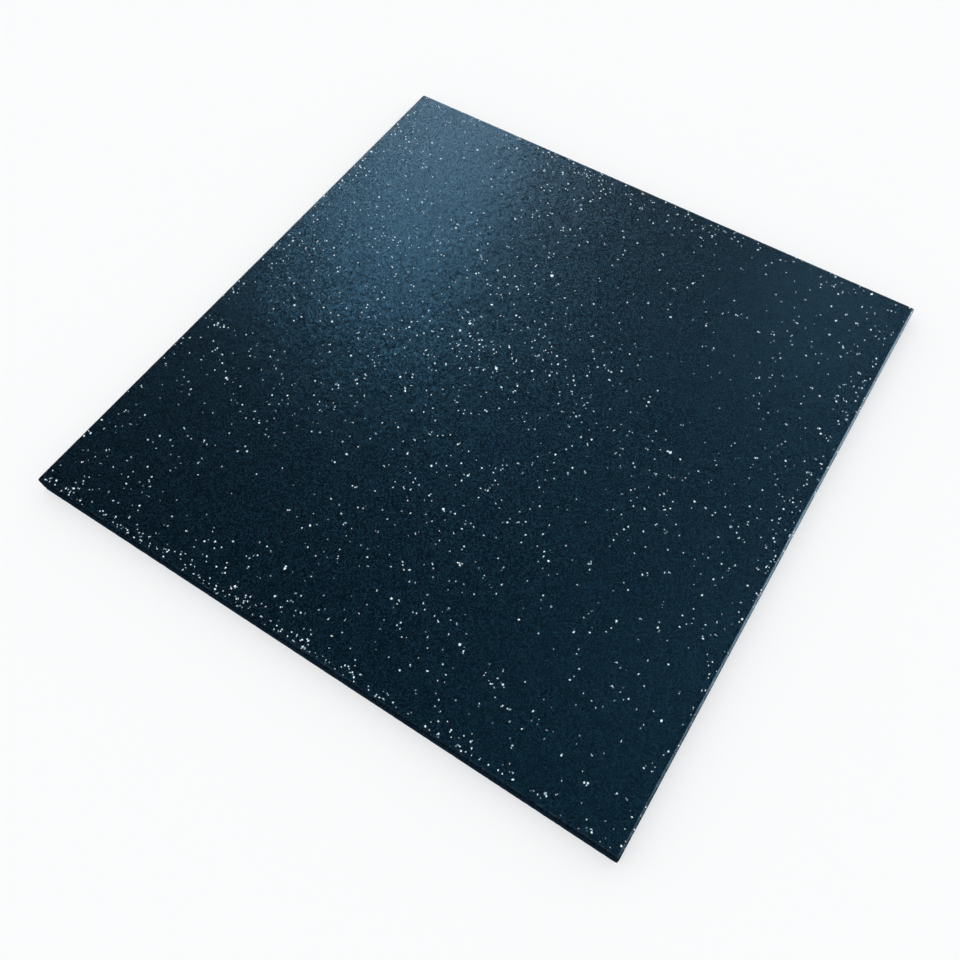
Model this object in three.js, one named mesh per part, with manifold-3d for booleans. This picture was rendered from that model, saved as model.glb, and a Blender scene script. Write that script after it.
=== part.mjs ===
// Rubber gym floor tile: one pressed slab of bonded rubber granules, square in plan. A rounded rim runs
// round the walking face, with straight sides below it.
// Millimetres, +Z up. The tile lies flat and the origin is the middle of its underside.
import * as THREE from "three";
import { mergeVertices } from "three/addons/utils/BufferGeometryUtils.js";
import Module from "manifold-3d";

// Driving dimensions
const tileLength = 500; // outer size along X
const tileWidth = 500; // outer size along Y
const tileThickness = 15; // underside to walking face
const rimWidth = 2; // plan width of the rounded rim
const rimHeight = 3; // height of the rounded rim
const rimSteps = 6; // flats that make up the rim's curve

// Finish
const rubberColour = 0x132835;
const rubberRoughness = 0.45;

const wasm = await Module();
wasm.setup();

function solidFrom(geometry) {
  const bare = geometry.clone();
  bare.deleteAttribute("normal");
  bare.deleteAttribute("uv");
  const merged = mergeVertices(bare);
  return new wasm.Manifold(
    new wasm.Mesh({
      numProp: 3,
      vertProperties: merged.getAttribute("position").array,
      triVerts: new Uint32Array(merged.getIndex().array),
    }),
  );
}

function geometryFrom(solid) {
  const { vertProperties, triVerts } = solid.getMesh();
  const indexed = new THREE.BufferGeometry();
  indexed.setAttribute("position", new THREE.BufferAttribute(vertProperties, 3));
  indexed.setIndex(new THREE.BufferAttribute(triVerts, 1));
  const faceted = indexed.toNonIndexed();
  faceted.computeVertexNormals();
  return faceted;
}

// A rectangle centred on the origin
function rectangle(length, width) {
  const outline = new THREE.Shape();
  outline.moveTo(-length / 2, -width / 2);
  outline.lineTo(length / 2, -width / 2);
  outline.lineTo(length / 2, width / 2);
  outline.lineTo(-length / 2, width / 2);
  outline.closePath();
  return outline;
}

// The blank curves out from the walking face, runs straight down to the underside, and curves in below it
function doubleRimmedBlank() {
  const walkingFace = rectangle(tileLength - 2 * rimWidth, tileWidth - 2 * rimWidth);
  return new THREE.ExtrudeGeometry(walkingFace, {
    depth: tileThickness - rimHeight,
    bevelThickness: rimHeight,
    bevelSize: rimWidth,
    bevelSegments: rimSteps,
  });
}

// What the blank has below the underside is cut off, so the tile rests flat out to its sides
function tileSlab() {
  const cutLength = tileLength + 2 * rimWidth;
  const cutWidth = tileWidth + 2 * rimWidth;
  const cutDepth = 2 * rimHeight;
  const cutter = new THREE.BoxGeometry(cutLength, cutWidth, cutDepth);
  cutter.translate(0, 0, -cutDepth / 2);
  return geometryFrom(solidFrom(doubleRimmedBlank()).subtract(solidFrom(cutter)));
}

const rubber = new THREE.MeshStandardMaterial({
  color: rubberColour,
  roughness: rubberRoughness,
  metalness: 0,
});

const rubberTile = new THREE.Mesh(tileSlab(), rubber);
rubberTile.name = "rubber_tile";

const group = new THREE.Group();
group.add(rubberTile);

export default group;
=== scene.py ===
# Rubber gym floor tile: a pressed slab of dark rubber crumb with pale flecks in its walking face.
import math
import bmesh
import bpy
import numpy as np
from mathutils import Matrix, Vector


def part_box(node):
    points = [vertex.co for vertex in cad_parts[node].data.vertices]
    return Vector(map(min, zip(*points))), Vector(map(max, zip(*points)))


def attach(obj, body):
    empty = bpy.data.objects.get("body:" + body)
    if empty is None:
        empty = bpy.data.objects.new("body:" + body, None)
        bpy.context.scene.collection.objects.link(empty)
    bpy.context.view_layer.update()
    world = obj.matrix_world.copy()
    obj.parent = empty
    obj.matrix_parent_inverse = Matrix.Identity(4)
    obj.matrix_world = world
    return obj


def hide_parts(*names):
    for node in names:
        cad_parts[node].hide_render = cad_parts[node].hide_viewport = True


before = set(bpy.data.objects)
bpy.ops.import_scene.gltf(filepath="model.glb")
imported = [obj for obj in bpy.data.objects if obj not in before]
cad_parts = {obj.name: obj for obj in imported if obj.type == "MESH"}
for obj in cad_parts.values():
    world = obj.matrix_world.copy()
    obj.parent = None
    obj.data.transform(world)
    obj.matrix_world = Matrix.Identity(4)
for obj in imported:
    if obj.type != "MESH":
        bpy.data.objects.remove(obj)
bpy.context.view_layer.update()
tileLow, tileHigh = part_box("rubber_tile")
halfLength = (tileHigh.x - tileLow.x) / 2
halfWidth = (tileHigh.y - tileLow.y) / 2
thickness = tileHigh.z - tileLow.z
print("frame loaded, tile", round(halfLength * 2, 4), "by", round(halfWidth * 2, 4), "m")


# Camera, at the photograph's viewing angle
imageSize = 960
photoCamera = {
    "focalPixels": 951.5,
    "centrePixel": (536.7, 450.2),  # where the lens axis meets the picture
    "place": (0.24883, -0.33853, 0.63984),
    "yaw": 32.27,  # degrees, turned left from +Y
    "pitch": 59.85,  # degrees below the horizon
    "roll": 0.39,
    "sensorWidth": 36.0,
    "clip": (0.01, 50.0),
}


def makeCamera(values):
    lens = bpy.data.cameras.new("photo_camera")
    lens.sensor_width = values["sensorWidth"]
    lens.lens = values["focalPixels"] / imageSize * values["sensorWidth"]
    middle = imageSize / 2
    lens.shift_x = (middle - values["centrePixel"][0]) / imageSize
    lens.shift_y = (values["centrePixel"][1] - middle) / imageSize
    lens.clip_start, lens.clip_end = values["clip"]
    camera = bpy.data.objects.new("photo_camera", lens)
    turn = Matrix.Rotation(math.radians(values["yaw"]), 4, "Z")
    turn = turn @ Matrix.Rotation(math.radians(90 - values["pitch"]), 4, "X")
    turn = turn @ Matrix.Rotation(math.radians(-values["roll"]), 4, "Z")
    camera.matrix_world = Matrix.Translation(values["place"]) @ turn
    bpy.context.scene.collection.objects.link(camera)
    bpy.context.scene.camera = camera


makeCamera(photoCamera)
print("camera made")


# Shared shader groups
def newGroup(name, inputs, outputs):
    group = bpy.data.node_groups.new(name, "ShaderNodeTree")
    for label, value in inputs.items():
        socket = group.interface.new_socket(label, in_out="INPUT", socket_type="NodeSocketFloat")
        socket.default_value = value
    for label, kind in outputs.items():
        group.interface.new_socket(label, in_out="OUTPUT", socket_type=kind)
    return group


def addNode(tree, kind, column, row, **settings):
    node = tree.nodes.new(kind)
    node.location = (column * 220, -row * 200)
    for key, value in settings.items():
        setattr(node, key, value)
    return node


def addMath(tree, operation, first, second, column, row):
    node = addNode(tree, "ShaderNodeMath", column, row, operation=operation)
    for socket, value in zip(node.inputs, (first, second)):
        if isinstance(value, (int, float)):
            socket.default_value = value
        else:
            tree.links.new(value, socket)
    return node.outputs["Value"]


def addRange(tree, value, fromLow, fromHigh, toLow, toHigh, column, row):
    node = addNode(tree, "ShaderNodeMapRange", column, row)
    limits = {"From Min": fromLow, "From Max": fromHigh, "To Min": toLow, "To Max": toHigh}
    for label, number in limits.items():
        node.inputs[label].default_value = number
    tree.links.new(value, node.inputs["Value"])
    return node.outputs["Result"]


def addMix(tree, share, first, second, column, row):
    node = addNode(tree, "ShaderNodeMix", column, row, data_type="RGBA")
    for label, value in (("Factor", share), ("A", first), ("B", second)):
        kind = "VALUE" if label == "Factor" else "RGBA"
        socket = next(s for s in node.inputs if s.name == label and s.type == kind)
        if isinstance(value, bpy.types.NodeSocket):
            tree.links.new(value, socket)
        elif kind == "VALUE":
            socket.default_value = value
        else:
            socket.default_value = (*value, 1.0)
    return next(s for s in node.outputs if s.type == "RGBA")


granuleShape = {
    "bendWaves": 0.38,  # waves of the bend along one granule
    "bendReach": 1.3,  # how far a granule's outline is bent, in granules
    "bendDetail": 1.5,
    "jointDepth": 0.5,  # in the same measure as the group's Step
}


# Granules pressed together: a random tone for each, the joints between them, and their height. Each
# granule's top is tilted its own way, so that some of them catch the light.
def makeCrumbGrain():
    floats = {"Granules": 620.0, "Joint": 0.16, "Tilt": 1.0, "Step": 0.3}
    outs = {"Tone": "NodeSocketFloat", "Joint": "NodeSocketFloat", "Height": "NodeSocketFloat"}
    group = newGroup("crumbGrain", floats, outs)
    links = group.links
    inside = addNode(group, "NodeGroupInput", -4, 0)
    outside = addNode(group, "NodeGroupOutput", 5, 0)
    place = addNode(group, "ShaderNodeTexCoord", -4, 1)
    bend = addNode(group, "ShaderNodeTexNoise", -3, 2)
    bend.inputs["Detail"].default_value = granuleShape["bendDetail"]
    waves = addMath(group, "MULTIPLY", inside.outputs["Granules"], granuleShape["bendWaves"], -4, 3)
    links.new(waves, bend.inputs["Scale"])
    links.new(place.outputs["Object"], bend.inputs["Vector"])
    push = addNode(group, "ShaderNodeVectorMath", -2, 2, operation="MULTIPLY_ADD")
    reach = addMath(group, "DIVIDE", granuleShape["bendReach"], inside.outputs["Granules"], -3, 3)
    links.new(reach, push.inputs[1])
    links.new(bend.outputs["Color"], push.inputs[0])
    links.new(place.outputs["Object"], push.inputs[2])
    cells = addNode(group, "ShaderNodeTexVoronoi", -1, 1)
    borders = addNode(group, "ShaderNodeTexVoronoi", -1, 3, feature="DISTANCE_TO_EDGE")
    for texture in (cells, borders):
        links.new(push.outputs["Vector"], texture.inputs["Vector"])
        links.new(inside.outputs["Granules"], texture.inputs["Scale"])
    split = addNode(group, "ShaderNodeSeparateColor", 0, 1)
    links.new(cells.outputs["Color"], split.inputs["Color"])
    links.new(split.outputs["Red"], outside.inputs["Tone"])
    joint = addNode(group, "ShaderNodeMapRange", 1, 2, interpolation_type="SMOOTHSTEP")
    joint.inputs["To Min"].default_value = 1.0
    joint.inputs["To Max"].default_value = 0.0
    links.new(inside.outputs["Joint"], joint.inputs["From Max"])
    links.new(borders.outputs["Distance"], joint.inputs["Value"])
    links.new(joint.outputs["Result"], outside.inputs["Joint"])
    fromMiddle = addNode(group, "ShaderNodeVectorMath", 0, 4, operation="SUBTRACT")
    links.new(push.outputs["Vector"], fromMiddle.inputs[0])
    links.new(cells.outputs["Position"], fromMiddle.inputs[1])
    lean = addNode(group, "ShaderNodeVectorMath", 0, 5, operation="SUBTRACT")
    links.new(cells.outputs["Color"], lean.inputs[0])
    lean.inputs[1].default_value = (0.5, 0.5, 0.5)
    rise = addNode(group, "ShaderNodeVectorMath", 1, 4, operation="DOT_PRODUCT")
    links.new(fromMiddle.outputs["Vector"], rise.inputs[0])
    links.new(lean.outputs["Vector"], rise.inputs[1])
    scaled = addMath(group, "MULTIPLY", rise.outputs["Value"], inside.outputs["Granules"], 2, 4)
    tilted = addMath(group, "MULTIPLY", scaled, inside.outputs["Tilt"], 3, 4)
    level = addMath(group, "MULTIPLY", split.outputs["Green"], inside.outputs["Step"], 1, 1)
    sunk = addMath(group, "MULTIPLY", joint.outputs["Result"], granuleShape["jointDepth"], 2, 2)
    raised = addMath(group, "ADD", level, tilted, 3, 1)
    links.new(addMath(group, "SUBTRACT", raised, sunk, 4, 1), outside.inputs["Height"])
    return group


poreWall = 0.08  # width of a pore's sloping wall, as a share of the pores' spacing


# Open pores where granules pulled out or never met
def makePores():
    group = newGroup("pores", {"Count": 260.0, "Share": 0.2}, {"Pore": "NodeSocketFloat"})
    inside = addNode(group, "NodeGroupInput", -3, 0)
    outside = addNode(group, "NodeGroupOutput", 3, 0)
    place = addNode(group, "ShaderNodeTexCoord", -3, 1)
    spots = addNode(group, "ShaderNodeTexVoronoi", -1, 0)
    group.links.new(place.outputs["Object"], spots.inputs["Vector"])
    group.links.new(inside.outputs["Count"], spots.inputs["Scale"])
    split = addNode(group, "ShaderNodeSeparateColor", 0, 1)
    group.links.new(spots.outputs["Color"], split.inputs["Color"])
    reach = addMath(group, "MULTIPLY", split.outputs["Red"], inside.outputs["Share"], 1, 1)
    depth = addMath(group, "SUBTRACT", reach, spots.outputs["Distance"], 1, 0)
    group.links.new(addRange(group, depth, 0.0, poreWall, 0.0, 1.0, 2, 0), outside.inputs["Pore"])
    return group


dustCloud = {"detail": 6.0, "roughness": 0.62}


# Slow changes over the sheet: a handled, faintly dusty surface
def makeBloom():
    group = newGroup("bloom", {"Scale": 9.0, "Low": 0.42, "High": 0.72}, {"Bloom": "NodeSocketFloat"})
    inside = addNode(group, "NodeGroupInput", -3, 0)
    outside = addNode(group, "NodeGroupOutput", 2, 0)
    place = addNode(group, "ShaderNodeTexCoord", -3, 1)
    cloud = addNode(group, "ShaderNodeTexNoise", -1, 0)
    cloud.inputs["Detail"].default_value = dustCloud["detail"]
    cloud.inputs["Roughness"].default_value = dustCloud["roughness"]
    group.links.new(place.outputs["Object"], cloud.inputs["Vector"])
    group.links.new(inside.outputs["Scale"], cloud.inputs["Scale"])
    span = addNode(group, "ShaderNodeMapRange", 0, 0)
    group.links.new(cloud.outputs["Fac"], span.inputs["Value"])
    group.links.new(inside.outputs["Low"], span.inputs["From Min"])
    group.links.new(inside.outputs["High"], span.inputs["From Max"])
    group.links.new(span.outputs["Result"], outside.inputs["Bloom"])
    return group


crumbGrain = makeCrumbGrain()
pores = makePores()
bloom = makeBloom()
print("shader groups made")


def addGroup(tree, group, column, row, **values):
    node = addNode(tree, "ShaderNodeGroup", column, row, node_tree=group)
    for label, value in values.items():
        node.inputs[label].default_value = value
    return node


def newMaterial(name):
    material = bpy.data.materials.new(name)
    material.use_nodes = True
    tree = material.node_tree
    tree.nodes.clear()
    shader = addNode(tree, "ShaderNodeBsdfPrincipled", 6, 0)
    output = addNode(tree, "ShaderNodeOutputMaterial", 8, 0)
    tree.links.new(shader.outputs["BSDF"], output.inputs["Surface"])
    return material, tree, shader


walkingFinish = {
    "granules": 1250.0,  # per metre
    "joint": 0.10,
    "tilt": 1.1,  # how far granules' tops lean
    "toneCurve": 2.1,  # higher leaves fewer light granules
    "deep": (0.0002, 0.0010, 0.0022),
    "light": (0.0057, 0.0180, 0.0304),
    "jointTone": (0.0002, 0.0010, 0.0022),
    "dustTone": (0.0080, 0.0170, 0.0270),
    "dustShare": 0.05,
    "roughness": (0.10, 0.42),
    "jointRoughness": 0.75,
    "specular": 0.5,
    "tint": (0.10, 0.56, 1.0),  # navy, as the rubber's own gloss
    "pores": 260.0,
    "poreShare": 0.14,
    "bump": 0.6,
    "bumpDepth": 0.00016,
}
rimFinish = {
    "granules": 900.0,
    "joint": 0.06,
    "tilt": 1.0,
    "toneCurve": 1.0,
    "deep": (0.0009, 0.0034, 0.0076),
    "light": (0.0034, 0.0118, 0.0226),
    "jointTone": (0.0008, 0.0030, 0.0066),
    "dustTone": (0.0090, 0.0170, 0.0250),
    "dustShare": 0.08,
    "roughness": (0.20, 0.34),
    "jointRoughness": 0.42,
    "specular": 1.0,  # pressed smoother than the face
    "tint": (0.38, 0.72, 1.0),
    "pores": 260.0,
    "poreShare": 0.12,
    "bump": 0.5,
    "bumpDepth": 0.00022,
}
# The sides' tones are lighter than the walking face's: partly the open cut rubber, partly painted light
# standing in for light bounced up from the floor.
sideFinish = {
    "granules": 560.0,
    "joint": 0.17,
    "tilt": 1.0,
    "toneCurve": 1.0,
    "deep": (0.0030, 0.0101, 0.0205),
    "light": (0.0094, 0.0272, 0.0480),
    "jointTone": (0.0028, 0.0092, 0.0187),
    "dustTone": (0.0140, 0.0250, 0.0350),
    "dustShare": 0.14,
    "roughness": (0.85, 1.0),
    "jointRoughness": 1.0,
    "specular": 0.0,
    "tint": (0.10, 0.56, 1.0),
    "pores": 340.0,
    "poreShare": 0.22,
    "bump": 0.8,
    "bumpDepth": 0.00040,
}
# The underside is coloured lighter and dustier than the walking face: partly a dustier surface, partly
# painted light standing in for the light that doesn't reach it from below.
undersideFinish = {
    "granules": 420.0,
    "joint": 0.11,
    "tilt": 1.0,
    "toneCurve": 1.0,
    "deep": (0.0060, 0.0150, 0.0250),
    "light": (0.0180, 0.0370, 0.0550),
    "jointTone": (0.0030, 0.0080, 0.0130),
    "dustTone": (0.0400, 0.0540, 0.0640),
    "dustShare": 0.22,
    "roughness": (0.60, 0.80),
    "jointRoughness": 0.85,
    "specular": 0.30,
    "tint": (0.10, 0.56, 1.0),
    "pores": 260.0,
    "poreShare": 0.24,
    "bump": 0.9,
    "bumpDepth": 0.00050,
}


def makeRubber(name, finish):
    material, tree, shader = newMaterial(name)
    links = tree.links
    grain = addGroup(tree, crumbGrain, 0, 0, Granules=finish["granules"], Joint=finish["joint"],
                     Tilt=finish["tilt"])
    hole = addGroup(tree, pores, 0, 1, Count=finish["pores"], Share=finish["poreShare"])
    cloud = addGroup(tree, bloom, 0, 2)
    curved = addMath(tree, "POWER", grain.outputs["Tone"], finish["toneCurve"], 1, 1)
    tone = addMix(tree, curved, finish["deep"], finish["light"], 2, 0)
    dusty = addMath(tree, "MULTIPLY", cloud.outputs["Bloom"], finish["dustShare"], 1, 2)
    tone = addMix(tree, dusty, tone, finish["dustTone"], 3, 0)
    gap = addMath(tree, "MAXIMUM", grain.outputs["Joint"], hole.outputs["Pore"], 2, 1)
    tone = addMix(tree, gap, tone, finish["jointTone"], 4, 0)
    links.new(tone, shader.inputs["Base Color"])
    low, high = finish["roughness"]
    rough = addRange(tree, curved, 0.0, 1.0, low, high, 2, 2)
    roughGap = addMath(tree, "MULTIPLY", gap, finish["jointRoughness"], 3, 3)
    rough = addMath(tree, "MAXIMUM", rough, roughGap, 4, 2)
    links.new(rough, shader.inputs["Roughness"])
    shader.inputs["Specular IOR Level"].default_value = finish["specular"]
    shader.inputs["Specular Tint"].default_value = (*finish["tint"], 1.0)
    height = addMath(tree, "SUBTRACT", grain.outputs["Height"], hole.outputs["Pore"], 3, 4)
    bump = addNode(tree, "ShaderNodeBump", 4, 4)
    bump.inputs["Strength"].default_value = finish["bump"]
    bump.inputs["Distance"].default_value = finish["bumpDepth"]
    links.new(height, bump.inputs["Height"])
    links.new(bump.outputs["Normal"], shader.inputs["Normal"])
    return material


fleckFinish = {
    "pale": (0.83, 0.95, 1.0),
    "dim": (0.06, 0.14, 0.21),
    "soiled": (0.18, 0.30, 0.38),
    "soilShare": 0.5,
    "soilScale": 700.0,
    "soilRange": (0.50, 0.80),
    "granules": 2600.0,
    "joint": 0.3,
    "roughness": (0.50, 0.72),
    "bump": 0.5,
    "bumpDepth": 0.00008,
}


def makeFleckRubber(finish):
    material, tree, shader = newMaterial("fleck_rubber")
    links = tree.links
    shade = addNode(tree, "ShaderNodeAttribute", -1, 0, attribute_name="shade")
    grain = addGroup(tree, crumbGrain, -1, 1, Granules=finish["granules"], Joint=finish["joint"])
    low, high = finish["soilRange"]
    cloud = addGroup(tree, bloom, -1, 2, Scale=finish["soilScale"], Low=low, High=high)
    tone = addMix(tree, shade.outputs["Fac"], finish["dim"], finish["pale"], 1, 0)
    soil = addMath(tree, "MULTIPLY", cloud.outputs["Bloom"], finish["soilShare"], 1, 2)
    links.new(addMix(tree, soil, tone, finish["soiled"], 2, 0), shader.inputs["Base Color"])
    low, high = finish["roughness"]
    links.new(addRange(tree, grain.outputs["Tone"], 0.0, 1.0, low, high, 2, 2), shader.inputs["Roughness"])
    bump = addNode(tree, "ShaderNodeBump", 4, 3)
    bump.inputs["Strength"].default_value = finish["bump"]
    bump.inputs["Distance"].default_value = finish["bumpDepth"]
    links.new(grain.outputs["Height"], bump.inputs["Height"])
    links.new(bump.outputs["Normal"], shader.inputs["Normal"])
    return material


rubberMaterials = [
    makeRubber("walking_face_rubber", walkingFinish),
    makeRubber("rim_rubber", rimFinish),
    makeRubber("side_rubber", sideFinish),
    makeRubber("underside_rubber", undersideFinish),
]
rimSlot, sideSlot, undersideSlot = range(1, len(rubberMaterials))  # the walking face has the first
fleckMaterial = makeFleckRubber(fleckFinish)
print("materials made")


# The slab: one closed skin from the walking face, over the rim, down the sides and across the underside
slab = {
    "rimWidth": 0.002,
    "rimHeight": 0.003,
    "rimRows": 6,
    "sideRows": 4,
    "faceCell": 0.002,
    "undersideCell": 0.008,
    "cornerPasses": 1,
    "pressedIn": 0.00006,  # how far the crumb's flat tops lie inside the tile's full size
    "faceCrumb": 0.00016,  # greatest depth between granules
    "edgeCrumb": 0.00018,
    "flatness": 3.0,  # higher leaves more of the crumb level
    "waveDepth": 0.00005,
    "waveLengths": (0.045, 0.140),
    "waves": 7,
    "stray": 0.30,  # share of a cell that face points move sideways
    "seed": 11,
}
flatLength = halfLength - slab["rimWidth"]
flatWidth = halfWidth - slab["rimWidth"]
sideTop = thickness - slab["rimHeight"]
hair = 0.000001  # tells one level from another


def openEdges(bm):
    return [edge for edge in bm.edges if edge.is_boundary]


# Grows the skin by one row, which ends this far beyond the walking face and at this height
def growRow(bm, reach, height, material):
    grown = bmesh.ops.extrude_edge_only(bm, edges=openEdges(bm))["geom"]
    points = [item for item in grown if isinstance(item, bmesh.types.BMVert)]
    for item in grown:
        if isinstance(item, bmesh.types.BMFace):
            item.material_index = material
    oldLength = max(point.co.x for point in points)
    oldWidth = max(point.co.y for point in points)
    widen = ((flatLength + reach) / oldLength, (flatWidth + reach) / oldWidth, 1.0)
    bmesh.ops.scale(bm, vec=widen, verts=points)
    bmesh.ops.translate(bm, vec=(0, 0, height - points[0].co.z), verts=points)
    return points


# The panel waits below while it is bridged, because two loops at one level bridge crosswise
def closeUnderside(bm):
    outer = openEdges(bm)
    inset = slab["undersideCell"]
    columns = round(2 * (halfLength - inset) / slab["undersideCell"])
    rows = round(2 * (halfWidth - inset) / slab["undersideCell"])
    panel = bmesh.ops.create_grid(bm, x_segments=columns, y_segments=rows, size=1.0)["verts"]
    bmesh.ops.scale(bm, vec=(halfLength - inset, halfWidth - inset, 1.0), verts=panel)
    bmesh.ops.translate(bm, vec=(0, 0, -thickness), verts=panel)
    inner = [edge for edge in openEdges(bm) if edge.verts[0] in set(panel)]
    bridge = bmesh.ops.bridge_loops(bm, edges=outer + inner)["faces"]
    bmesh.ops.translate(bm, vec=(0, 0, thickness), verts=panel)
    for face in bridge + [face for point in panel for face in point.link_faces]:
        face.material_index = undersideSlot


def makeSkin():
    bm = bmesh.new()
    columns = round(2 * flatLength / slab["faceCell"])
    rows = round(2 * flatWidth / slab["faceCell"])
    bmesh.ops.create_grid(bm, x_segments=columns, y_segments=rows, size=1.0)
    bmesh.ops.scale(bm, vec=(flatLength, flatWidth, 1.0), verts=bm.verts)
    bmesh.ops.translate(bm, vec=(0, 0, thickness), verts=bm.verts)
    edgePoints = []
    for row in range(1, slab["rimRows"] + 1):
        turn = math.pi / 2 * row / slab["rimRows"]
        reach = slab["rimWidth"] * math.sin(turn)
        drop = slab["rimHeight"] * (1 - math.cos(turn))
        edgePoints += growRow(bm, reach, thickness - drop, rimSlot)
    for row in range(1, slab["sideRows"] + 1):
        edgePoints += growRow(bm, slab["rimWidth"], sideTop * (1 - row / slab["sideRows"]), sideSlot)
    corners = [point for point in edgePoints if abs(point.co.x) > flatLength and abs(point.co.y) > flatWidth]
    for _ in range(slab["cornerPasses"]):
        bmesh.ops.smooth_vert(bm, verts=corners, factor=0.5, use_axis_x=True, use_axis_y=True)
    closeUnderside(bm)
    bmesh.ops.recalc_face_normals(bm, faces=bm.faces)
    return bm


# Presses the clean skin inwards: flat-topped crumb with dips between, on slow waves across the face
def pressCrumb(mesh):
    rng = np.random.default_rng(slab["seed"])
    count = len(mesh.vertices)
    points = np.empty(count * 3)
    mesh.vertices.foreach_get("co", points)
    points = points.reshape(count, 3)
    outward = np.empty(count * 3)
    mesh.vertex_normals.foreach_get("vector", outward)
    outward = outward.reshape(count, 3)
    onFace = points[:, 2] > thickness - hair
    crumb = np.where(onFace, slab["faceCrumb"], slab["edgeCrumb"])
    depth = slab["pressedIn"] + crumb * rng.random(count) ** slab["flatness"]
    for _ in range(slab["waves"]):
        heading = rng.uniform(0, 2 * math.pi)
        length = rng.uniform(*slab["waveLengths"])
        along = points[:, 0] * math.cos(heading) + points[:, 1] * math.sin(heading)
        swell = 0.5 + 0.5 * np.sin(along / length * 2 * math.pi + rng.uniform(0, 2 * math.pi))
        depth += slab["waveDepth"] * swell * onFace
    inner = (np.abs(points[:, 0]) < flatLength - hair) & (np.abs(points[:, 1]) < flatWidth - hair) & onFace
    stray = rng.uniform(-1, 1, (count, 2)) * slab["stray"] * slab["faceCell"] * inner[:, None]
    points -= outward * depth[:, None]
    points[:, :2] += stray
    mesh.vertices.foreach_set("co", points.ravel())
    mesh.update()


def addPiece(name, mesh):
    piece = bpy.data.objects.new(name, mesh)
    bpy.context.scene.collection.objects.link(piece)
    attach(piece, "root")
    return piece


def makeSlab():
    bm = makeSkin()
    mesh = bpy.data.meshes.new("rubber_slab")
    bm.to_mesh(mesh)
    bm.free()
    pressCrumb(mesh)
    mesh.polygons.foreach_set("use_smooth", [True] * len(mesh.polygons))
    for material in rubberMaterials:
        mesh.materials.append(material)
    piece = addPiece("rubber_slab", mesh)
    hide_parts("rubber_tile")
    return piece


makeSlab()
print("slab made")


# Flecks: pale granules bonded level with the walking face. Places are shares of the face, from its left
# front corner: along X, then along Y.
flecks = {
    "even": 1850,  # strewn evenly
    "drifts": (  # place, spread and number of the flecks that lie closer together
        (0.28, 0.010, 0.16, 0.006, 45),
        (0.30, 0.036, 0.17, 0.013, 46),
        (0.66, 0.012, 0.09, 0.008, 16),
        (0.16, 0.070, 0.03, 0.020, 9),
        (0.02, 0.050, 0.015, 0.04, 12),
        (0.80, 0.070, 0.03, 0.020, 8),
        (0.43, 0.140, 0.02, 0.040, 9),
        (0.57, 0.110, 0.03, 0.025, 8),
        (0.58, 0.280, 0.02, 0.020, 7),
        (0.62, 0.220, 0.02, 0.020, 5),
        (0.47, 0.300, 0.02, 0.030, 6),
        (0.58, 0.370, 0.02, 0.020, 6),
        (0.30, 0.380, 0.03, 0.030, 6),
        (0.78, 0.430, 0.015, 0.02, 6),
        (0.92, 0.480, 0.02, 0.020, 6),
        (0.985, 0.60, 0.010, 0.24, 44),
        (0.975, 0.78, 0.010, 0.05, 8),
        (0.50, 0.560, 0.13, 0.045, 90),
        (0.42, 0.550, 0.04, 0.030, 14),
        (0.62, 0.620, 0.02, 0.050, 12),
        (0.03, 0.530, 0.02, 0.030, 6),
        (0.07, 0.620, 0.02, 0.020, 6),
        (0.17, 0.700, 0.03, 0.030, 8),
        (0.42, 0.830, 0.01, 0.020, 5),
        (0.52, 0.270, 0.12, 0.080, 35),
        (0.62, 0.985, 0.03, 0.008, 10),
        (0.45, 0.980, 0.07, 0.010, 16),
        (0.03, 0.930, 0.02, 0.020, 6),
        (0.96, 0.900, 0.02, 0.030, 8),
    ),
    "thinPlaces": (  # place, reach and share of the even flecks that stay there
        (0.62, 0.82, 0.20, 0.13, 0.42),
        (0.77, 0.66, 0.09, 0.05, 0.25),
        (0.30, 0.17, 0.07, 0.09, 0.20),
        (0.75, 0.17, 0.07, 0.04, 0.15),
        (0.62, 0.44, 0.12, 0.05, 0.60),
    ),
    "alongBorders": {  # number, and mean distance in from the border
        "right": (50, 0.005),
        "back": (75, 0.007),
        "left": (75, 0.009),
        "front": (110, 0.0035),
    },
    "onRim": {"right": 46, "back": 26, "left": 16},
    "rimShare": 0.8,  # share of the rim's curve that flecks reach down
    "size": 0.00130,  # median width across
    "sizeSpread": 0.30,
    "sizeLimits": (0.0008, 0.0034),
    "slimness": (0.50, 1.0),
    "chipped": 0.22,  # share of flecks with a chip beside them
    "chipSize": (0.45, 0.80),
    "chipReach": 0.46,  # share of both widths between the middles of fleck and chip
    "sink": 0.00035,  # how deep a fleck is seated
    "proud": 0.00003,  # how far its crown lies inside the tile's full size
    "crown": 0.00003,
    "borderGap": 0.0006,  # bare strip inside the front border
    "sides": (5, 6, 6, 7, 7, 7, 8, 8, 9),
    "raggedness": (0.58, 1.22),
    "taper": 0.86,
    "dimShare": 0.24,
    "dimShades": (0.05, 0.50),
    "brightShades": (0.85, 1.0),
    "closest": 0.42,  # share of both widths that two flecks' middles keep apart
    "seed": 23,
}
borders = ("right", "back", "left", "front")


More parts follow.
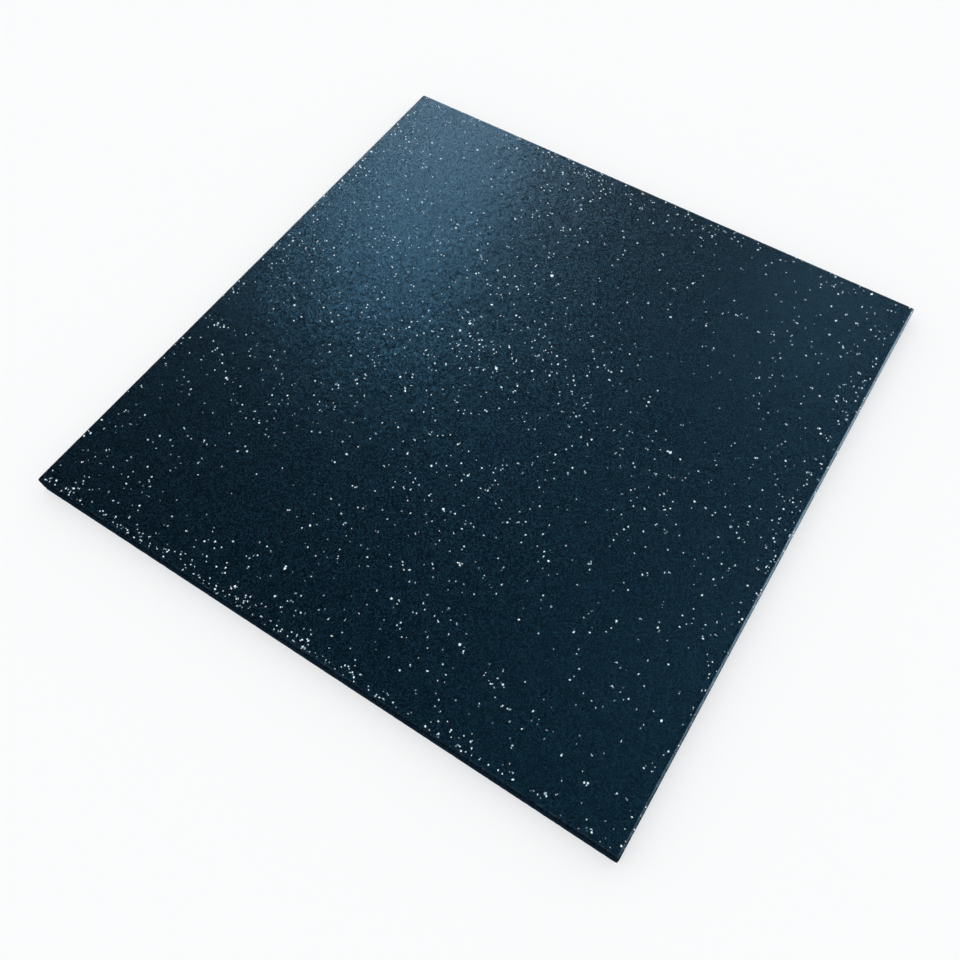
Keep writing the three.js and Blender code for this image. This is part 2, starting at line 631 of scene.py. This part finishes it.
# Granule outlines with a slightly raised middle, one unit across the radius and one deep
def makeGranules(rng):
    granules = []
    for count in flecks["sides"]:
        bm = bmesh.new()
        bmesh.ops.create_cone(bm, cap_ends=True, cap_tris=False, segments=count, radius1=1.0,
                              radius2=flecks["taper"], depth=1.0)
        bm.verts.ensure_lookup_table()
        for corner in range(count):
            pull = rng.uniform(*flecks["raggedness"])
            bmesh.ops.scale(bm, vec=(pull, pull, 1.0), verts=bm.verts[2 * corner:2 * corner + 2])
        top = [face for face in bm.faces if face.normal.z > 0.9]
        bmesh.ops.poke(bm, faces=top)
        bmesh.ops.translate(bm, vec=(0, 0, -0.5), verts=bm.verts)
        bmesh.ops.triangulate(bm, faces=bm.faces)
        bm.verts.index_update()
        shape = np.array([point.co for point in bm.verts])
        shape[-1, 2] = 1.0  # the crown, told apart by its height
        granules.append((shape, np.array([[point.index for point in face.verts] for face in bm.faces])))
        bm.free()
    return granules


def strewOverFace(rng):
    places = rng.random((flecks["even"], 2))
    keep = np.ones(len(places))
    for x, y, reachX, reachY, share in flecks["thinPlaces"]:
        near = ((places[:, 0] - x) / reachX) ** 2 + ((places[:, 1] - y) / reachY) ** 2 < 1
        keep[near] = share
    places = [places[rng.random(len(places)) < keep]]
    for x, y, spreadX, spreadY, number in flecks["drifts"]:
        places.append(rng.normal((x, y), (spreadX, spreadY), (number, 2)))
    places = np.concatenate(places)
    gap = flecks["borderGap"] / (2 * flatWidth)
    inside = (places > 0).all(1) & (places < 1).all(1) & (places[:, 1] > gap)
    return (places[inside] * 2 - 1) * (flatLength, flatWidth)


# Each fleck as border, distance past that border, distance along it, and width
def seatFlecks(rng):
    spots = strewOverFace(rng)
    past = np.stack([spots[:, 0] - flatLength, spots[:, 1] - flatWidth,
                     -spots[:, 0] - flatLength, -spots[:, 1] - flatWidth])
    along = np.stack([spots[:, 1], -spots[:, 0], -spots[:, 1], spots[:, 0]])
    border = past.argmax(0)
    index = np.arange(len(spots))
    seats = [np.stack([border, past[border, index], along[border, index]], 1)]
    for side, name in enumerate(borders):
        run = flatWidth if name in ("right", "left") else flatLength
        number, reach = flecks["alongBorders"][name]
        onRim = flecks["onRim"].get(name, 0)
        beyond = np.concatenate([-rng.exponential(reach, number) - flecks["borderGap"],
                                 rng.uniform(0, rimTable[-1] * flecks["rimShare"], onRim)])
        seats.append(np.stack([np.full(len(beyond), side), beyond, rng.uniform(-run, run, len(beyond))], 1))
    seats = np.concatenate(seats)
    widths = flecks["size"] * np.exp(rng.normal(0, flecks["sizeSpread"], len(seats)))
    seats = np.column_stack([seats, np.clip(widths, *flecks["sizeLimits"])])
    return np.concatenate([seats, chipsBeside(seats, rng)])


def chipsBeside(seats, rng):
    chips = seats[rng.random(len(seats)) < flecks["chipped"]]
    widths = chips[:, 3] * rng.uniform(*flecks["chipSize"], len(chips))
    reach = flecks["chipReach"] * (chips[:, 3] + widths)
    heading = rng.uniform(0, 2 * math.pi, len(chips))
    chips[:, 1] += reach * np.cos(heading)
    chips[:, 2] += reach * np.sin(heading)
    chips[:, 3] = widths
    return chips[chips[:, 1] < rimTable[-1] * flecks["rimShare"]]


# The rim's curve in fine steps, and how far along it each step ends
curveSteps = 64
rimTurns = np.linspace(0, math.pi / 2, curveSteps + 1)
rimTable = np.concatenate([[0], np.cumsum(np.hypot(np.diff(slab["rimWidth"] * np.sin(rimTurns)),
                                                   np.diff(slab["rimHeight"] * np.cos(rimTurns))))])


# A point this far past the border along the skin and this high over it: how far out it is, and its height
def overRim(past, lift):
    turn = np.interp(past, rimTable, rimTurns)
    out = slab["rimWidth"] * np.sin(turn) + np.minimum(past, 0)
    height = thickness - slab["rimHeight"] * (1 - np.cos(turn)) - np.maximum(past - rimTable[-1], 0)
    slopeOut = slab["rimHeight"] * np.sin(turn)
    slopeUp = slab["rimWidth"] * np.cos(turn)
    steep = np.hypot(slopeOut, slopeUp)
    return out + lift * slopeOut / steep, height + lift * slopeUp / steep


def placeFleck(shape, seat, width, slim, spin):
    border, past, along = seat
    local = shape[:, :2] * (width / 2, width / 2 * slim)
    across = local[:, 0] * math.cos(spin) - local[:, 1] * math.sin(spin)
    sideways = local[:, 0] * math.sin(spin) + local[:, 1] * math.cos(spin)
    level = np.where(shape[:, 2] > 0, 0.0, shape[:, 2] * flecks["sink"] - flecks["crown"])
    out, height = overRim(past + across, level - flecks["proud"])
    flat = flatLength if border % 2 == 0 else flatWidth
    angle = border * math.pi / 2
    x = (flat + out) * math.cos(angle) - (along + sideways) * math.sin(angle)
    y = (flat + out) * math.sin(angle) + (along + sideways) * math.cos(angle)
    return np.stack([x, y, height], 1)


def makeFlecks():
    rng = np.random.default_rng(flecks["seed"])
    granules = makeGranules(rng)
    points, faces, shades, middles = [], [], [], []
    start = 0
    for border, past, along, width in seatFlecks(rng):
        shape, corners = granules[rng.integers(len(granules))]
        slim = rng.uniform(*flecks["slimness"])
        placed = placeFleck(shape, (int(border), past, along), width, slim, rng.uniform(0, 2 * math.pi))
        dim = rng.random() < flecks["dimShare"]
        shade = rng.uniform(*(flecks["dimShades"] if dim else flecks["brightShades"]))
        middle = np.append(placed[:, :2].mean(0), width)
        if middles:
            others = np.array(middles)
            apart = np.hypot(*(others[:, :2] - middle[:2]).T)
            if (apart < flecks["closest"] * (others[:, 2] + width)).any():
                continue
        middles.append(middle)
        points.append(placed)
        faces.append(corners + start)
        shades.append(np.full(len(placed), shade))
        start += len(placed)
    mesh = bpy.data.meshes.new("pale_flecks")
    mesh.from_pydata(np.concatenate(points).tolist(), [], np.concatenate(faces).tolist())
    shade = mesh.attributes.new("shade", "FLOAT", "POINT")
    shade.data.foreach_set("value", np.concatenate(shades))
    mesh.materials.append(fleckMaterial)
    addPiece("pale_flecks", mesh)
    return len(middles)


print("flecks made:", makeFlecks())


# Studio: a plain pale floor, light from all round and a soft key on the camera's side, which only light
# matt surfaces, and soft panels that only show as sheen. Azimuths run from +Y towards +X.
studio = {
    "floorReach": 9.0,
    "floorSides": 96,
    "floorDrop": 0.0002,  # keeps the floor clear of the underside
    "floorTone": (0.885, 0.885, 0.885),
    "seenSky": (0.961, 0.971, 0.976),
    "fillTone": (0.97, 0.985, 1.0),
    "fill": 0.50,
    "key": {"azimuth": 150, "elevation": 62, "strength": 2.15, "softness": 40},
    "lampDistance": 2.5,
    "panels": {  # lean is to the left, in degrees, as seen from the tile
        "strip": {"azimuth": -35, "elevation": 34, "width": 0.56, "height": 1.75, "lean": 32, "glow": 9.1},
        "wall": {"azimuth": 2, "elevation": 35, "width": 0.40, "height": 1.45, "lean": 0, "glow": 1.6},
        "rim": {"azimuth": 55, "elevation": 17, "width": 2.1, "height": 4.3, "lean": 0, "glow": 4.8},
        "left": {"azimuth": -68, "elevation": 9, "width": 1.6, "height": 0.8, "lean": 0, "glow": 0.6},
        "front": {"azimuth": 135, "elevation": 20, "width": 2.0, "height": 1.2, "lean": 0, "glow": 1.1},
    },
}


def towards(azimuth, elevation):
    turn, rise = math.radians(azimuth), math.radians(elevation)
    return Vector((math.sin(turn) * math.cos(rise), math.cos(turn) * math.cos(rise), math.sin(rise)))


def addLamp(name, kind, values, distance):
    lamp = bpy.data.objects.new(name, bpy.data.lights.new(name, kind))
    way = towards(values["azimuth"], values["elevation"])
    lamp.matrix_world = Matrix.Translation(way * distance) @ way.to_track_quat("Z", "Y").to_matrix().to_4x4()
    lamp.visible_camera = False
    bpy.context.scene.collection.objects.link(lamp)
    return lamp


def makeFloor():
    bm = bmesh.new()
    bmesh.ops.create_circle(bm, cap_ends=True, segments=studio["floorSides"], radius=studio["floorReach"])
    bmesh.ops.translate(bm, vec=(0, 0, tileLow.z - studio["floorDrop"]), verts=bm.verts)
    mesh = bpy.data.meshes.new("studio_floor")
    bm.to_mesh(mesh)
    bm.free()
    material, tree, shader = newMaterial("floor_paper")
    shader.inputs["Base Color"].default_value = (*studio["floorTone"], 1.0)
    shader.inputs["Roughness"].default_value = 1.0
    shader.inputs["Specular IOR Level"].default_value = 0.0
    mesh.materials.append(material)
    floor = bpy.data.objects.new("studio_floor", mesh)
    bpy.context.scene.collection.objects.link(floor)
    floor.visible_glossy = False


def makeLights():
    lamp = addLamp("key_sun", "SUN", studio["key"], studio["lampDistance"])
    lamp.visible_glossy = False
    lamp.data.energy = studio["key"]["strength"]
    lamp.data.angle = math.radians(studio["key"]["softness"])
    for name, values in studio["panels"].items():
        lamp = addLamp(name + "_panel", "AREA", values, studio["lampDistance"])
        lamp.matrix_world = lamp.matrix_world @ Matrix.Rotation(math.radians(-values["lean"]), 4, "Z")
        lamp.visible_diffuse = False
        panel = lamp.data
        panel.shape = "RECTANGLE"
        panel.size, panel.size_y = values["width"], values["height"]
        panel.energy = values["glow"] * math.pi * values["width"] * values["height"]


def makeWorld():
    world = bpy.data.worlds.new("studio_world")
    bpy.context.scene.world = world
    world.use_nodes = True
    world.cycles_visibility.glossy = False
    tree = world.node_tree
    tree.nodes.clear()
    path = addNode(tree, "ShaderNodeLightPath", -2, 1)
    fill = addNode(tree, "ShaderNodeBackground", 0, 0)
    fill.inputs["Color"].default_value = (*studio["fillTone"], 1.0)
    fill.inputs["Strength"].default_value = studio["fill"]
    seen = addNode(tree, "ShaderNodeBackground", 0, 1)
    seen.inputs["Color"].default_value = (*studio["seenSky"], 1.0)
    choose = addNode(tree, "ShaderNodeMixShader", 1, 0)
    output = addNode(tree, "ShaderNodeOutputWorld", 2, 0)
    tree.links.new(path.outputs["Is Camera Ray"], choose.inputs["Fac"])
    tree.links.new(fill.outputs["Background"], choose.inputs[1])
    tree.links.new(seen.outputs["Background"], choose.inputs[2])
    tree.links.new(choose.outputs["Shader"], output.inputs["Surface"])


makeFloor()
makeLights()
makeWorld()
bpy.context.scene.view_settings.view_transform = "Standard"
print("studio made")
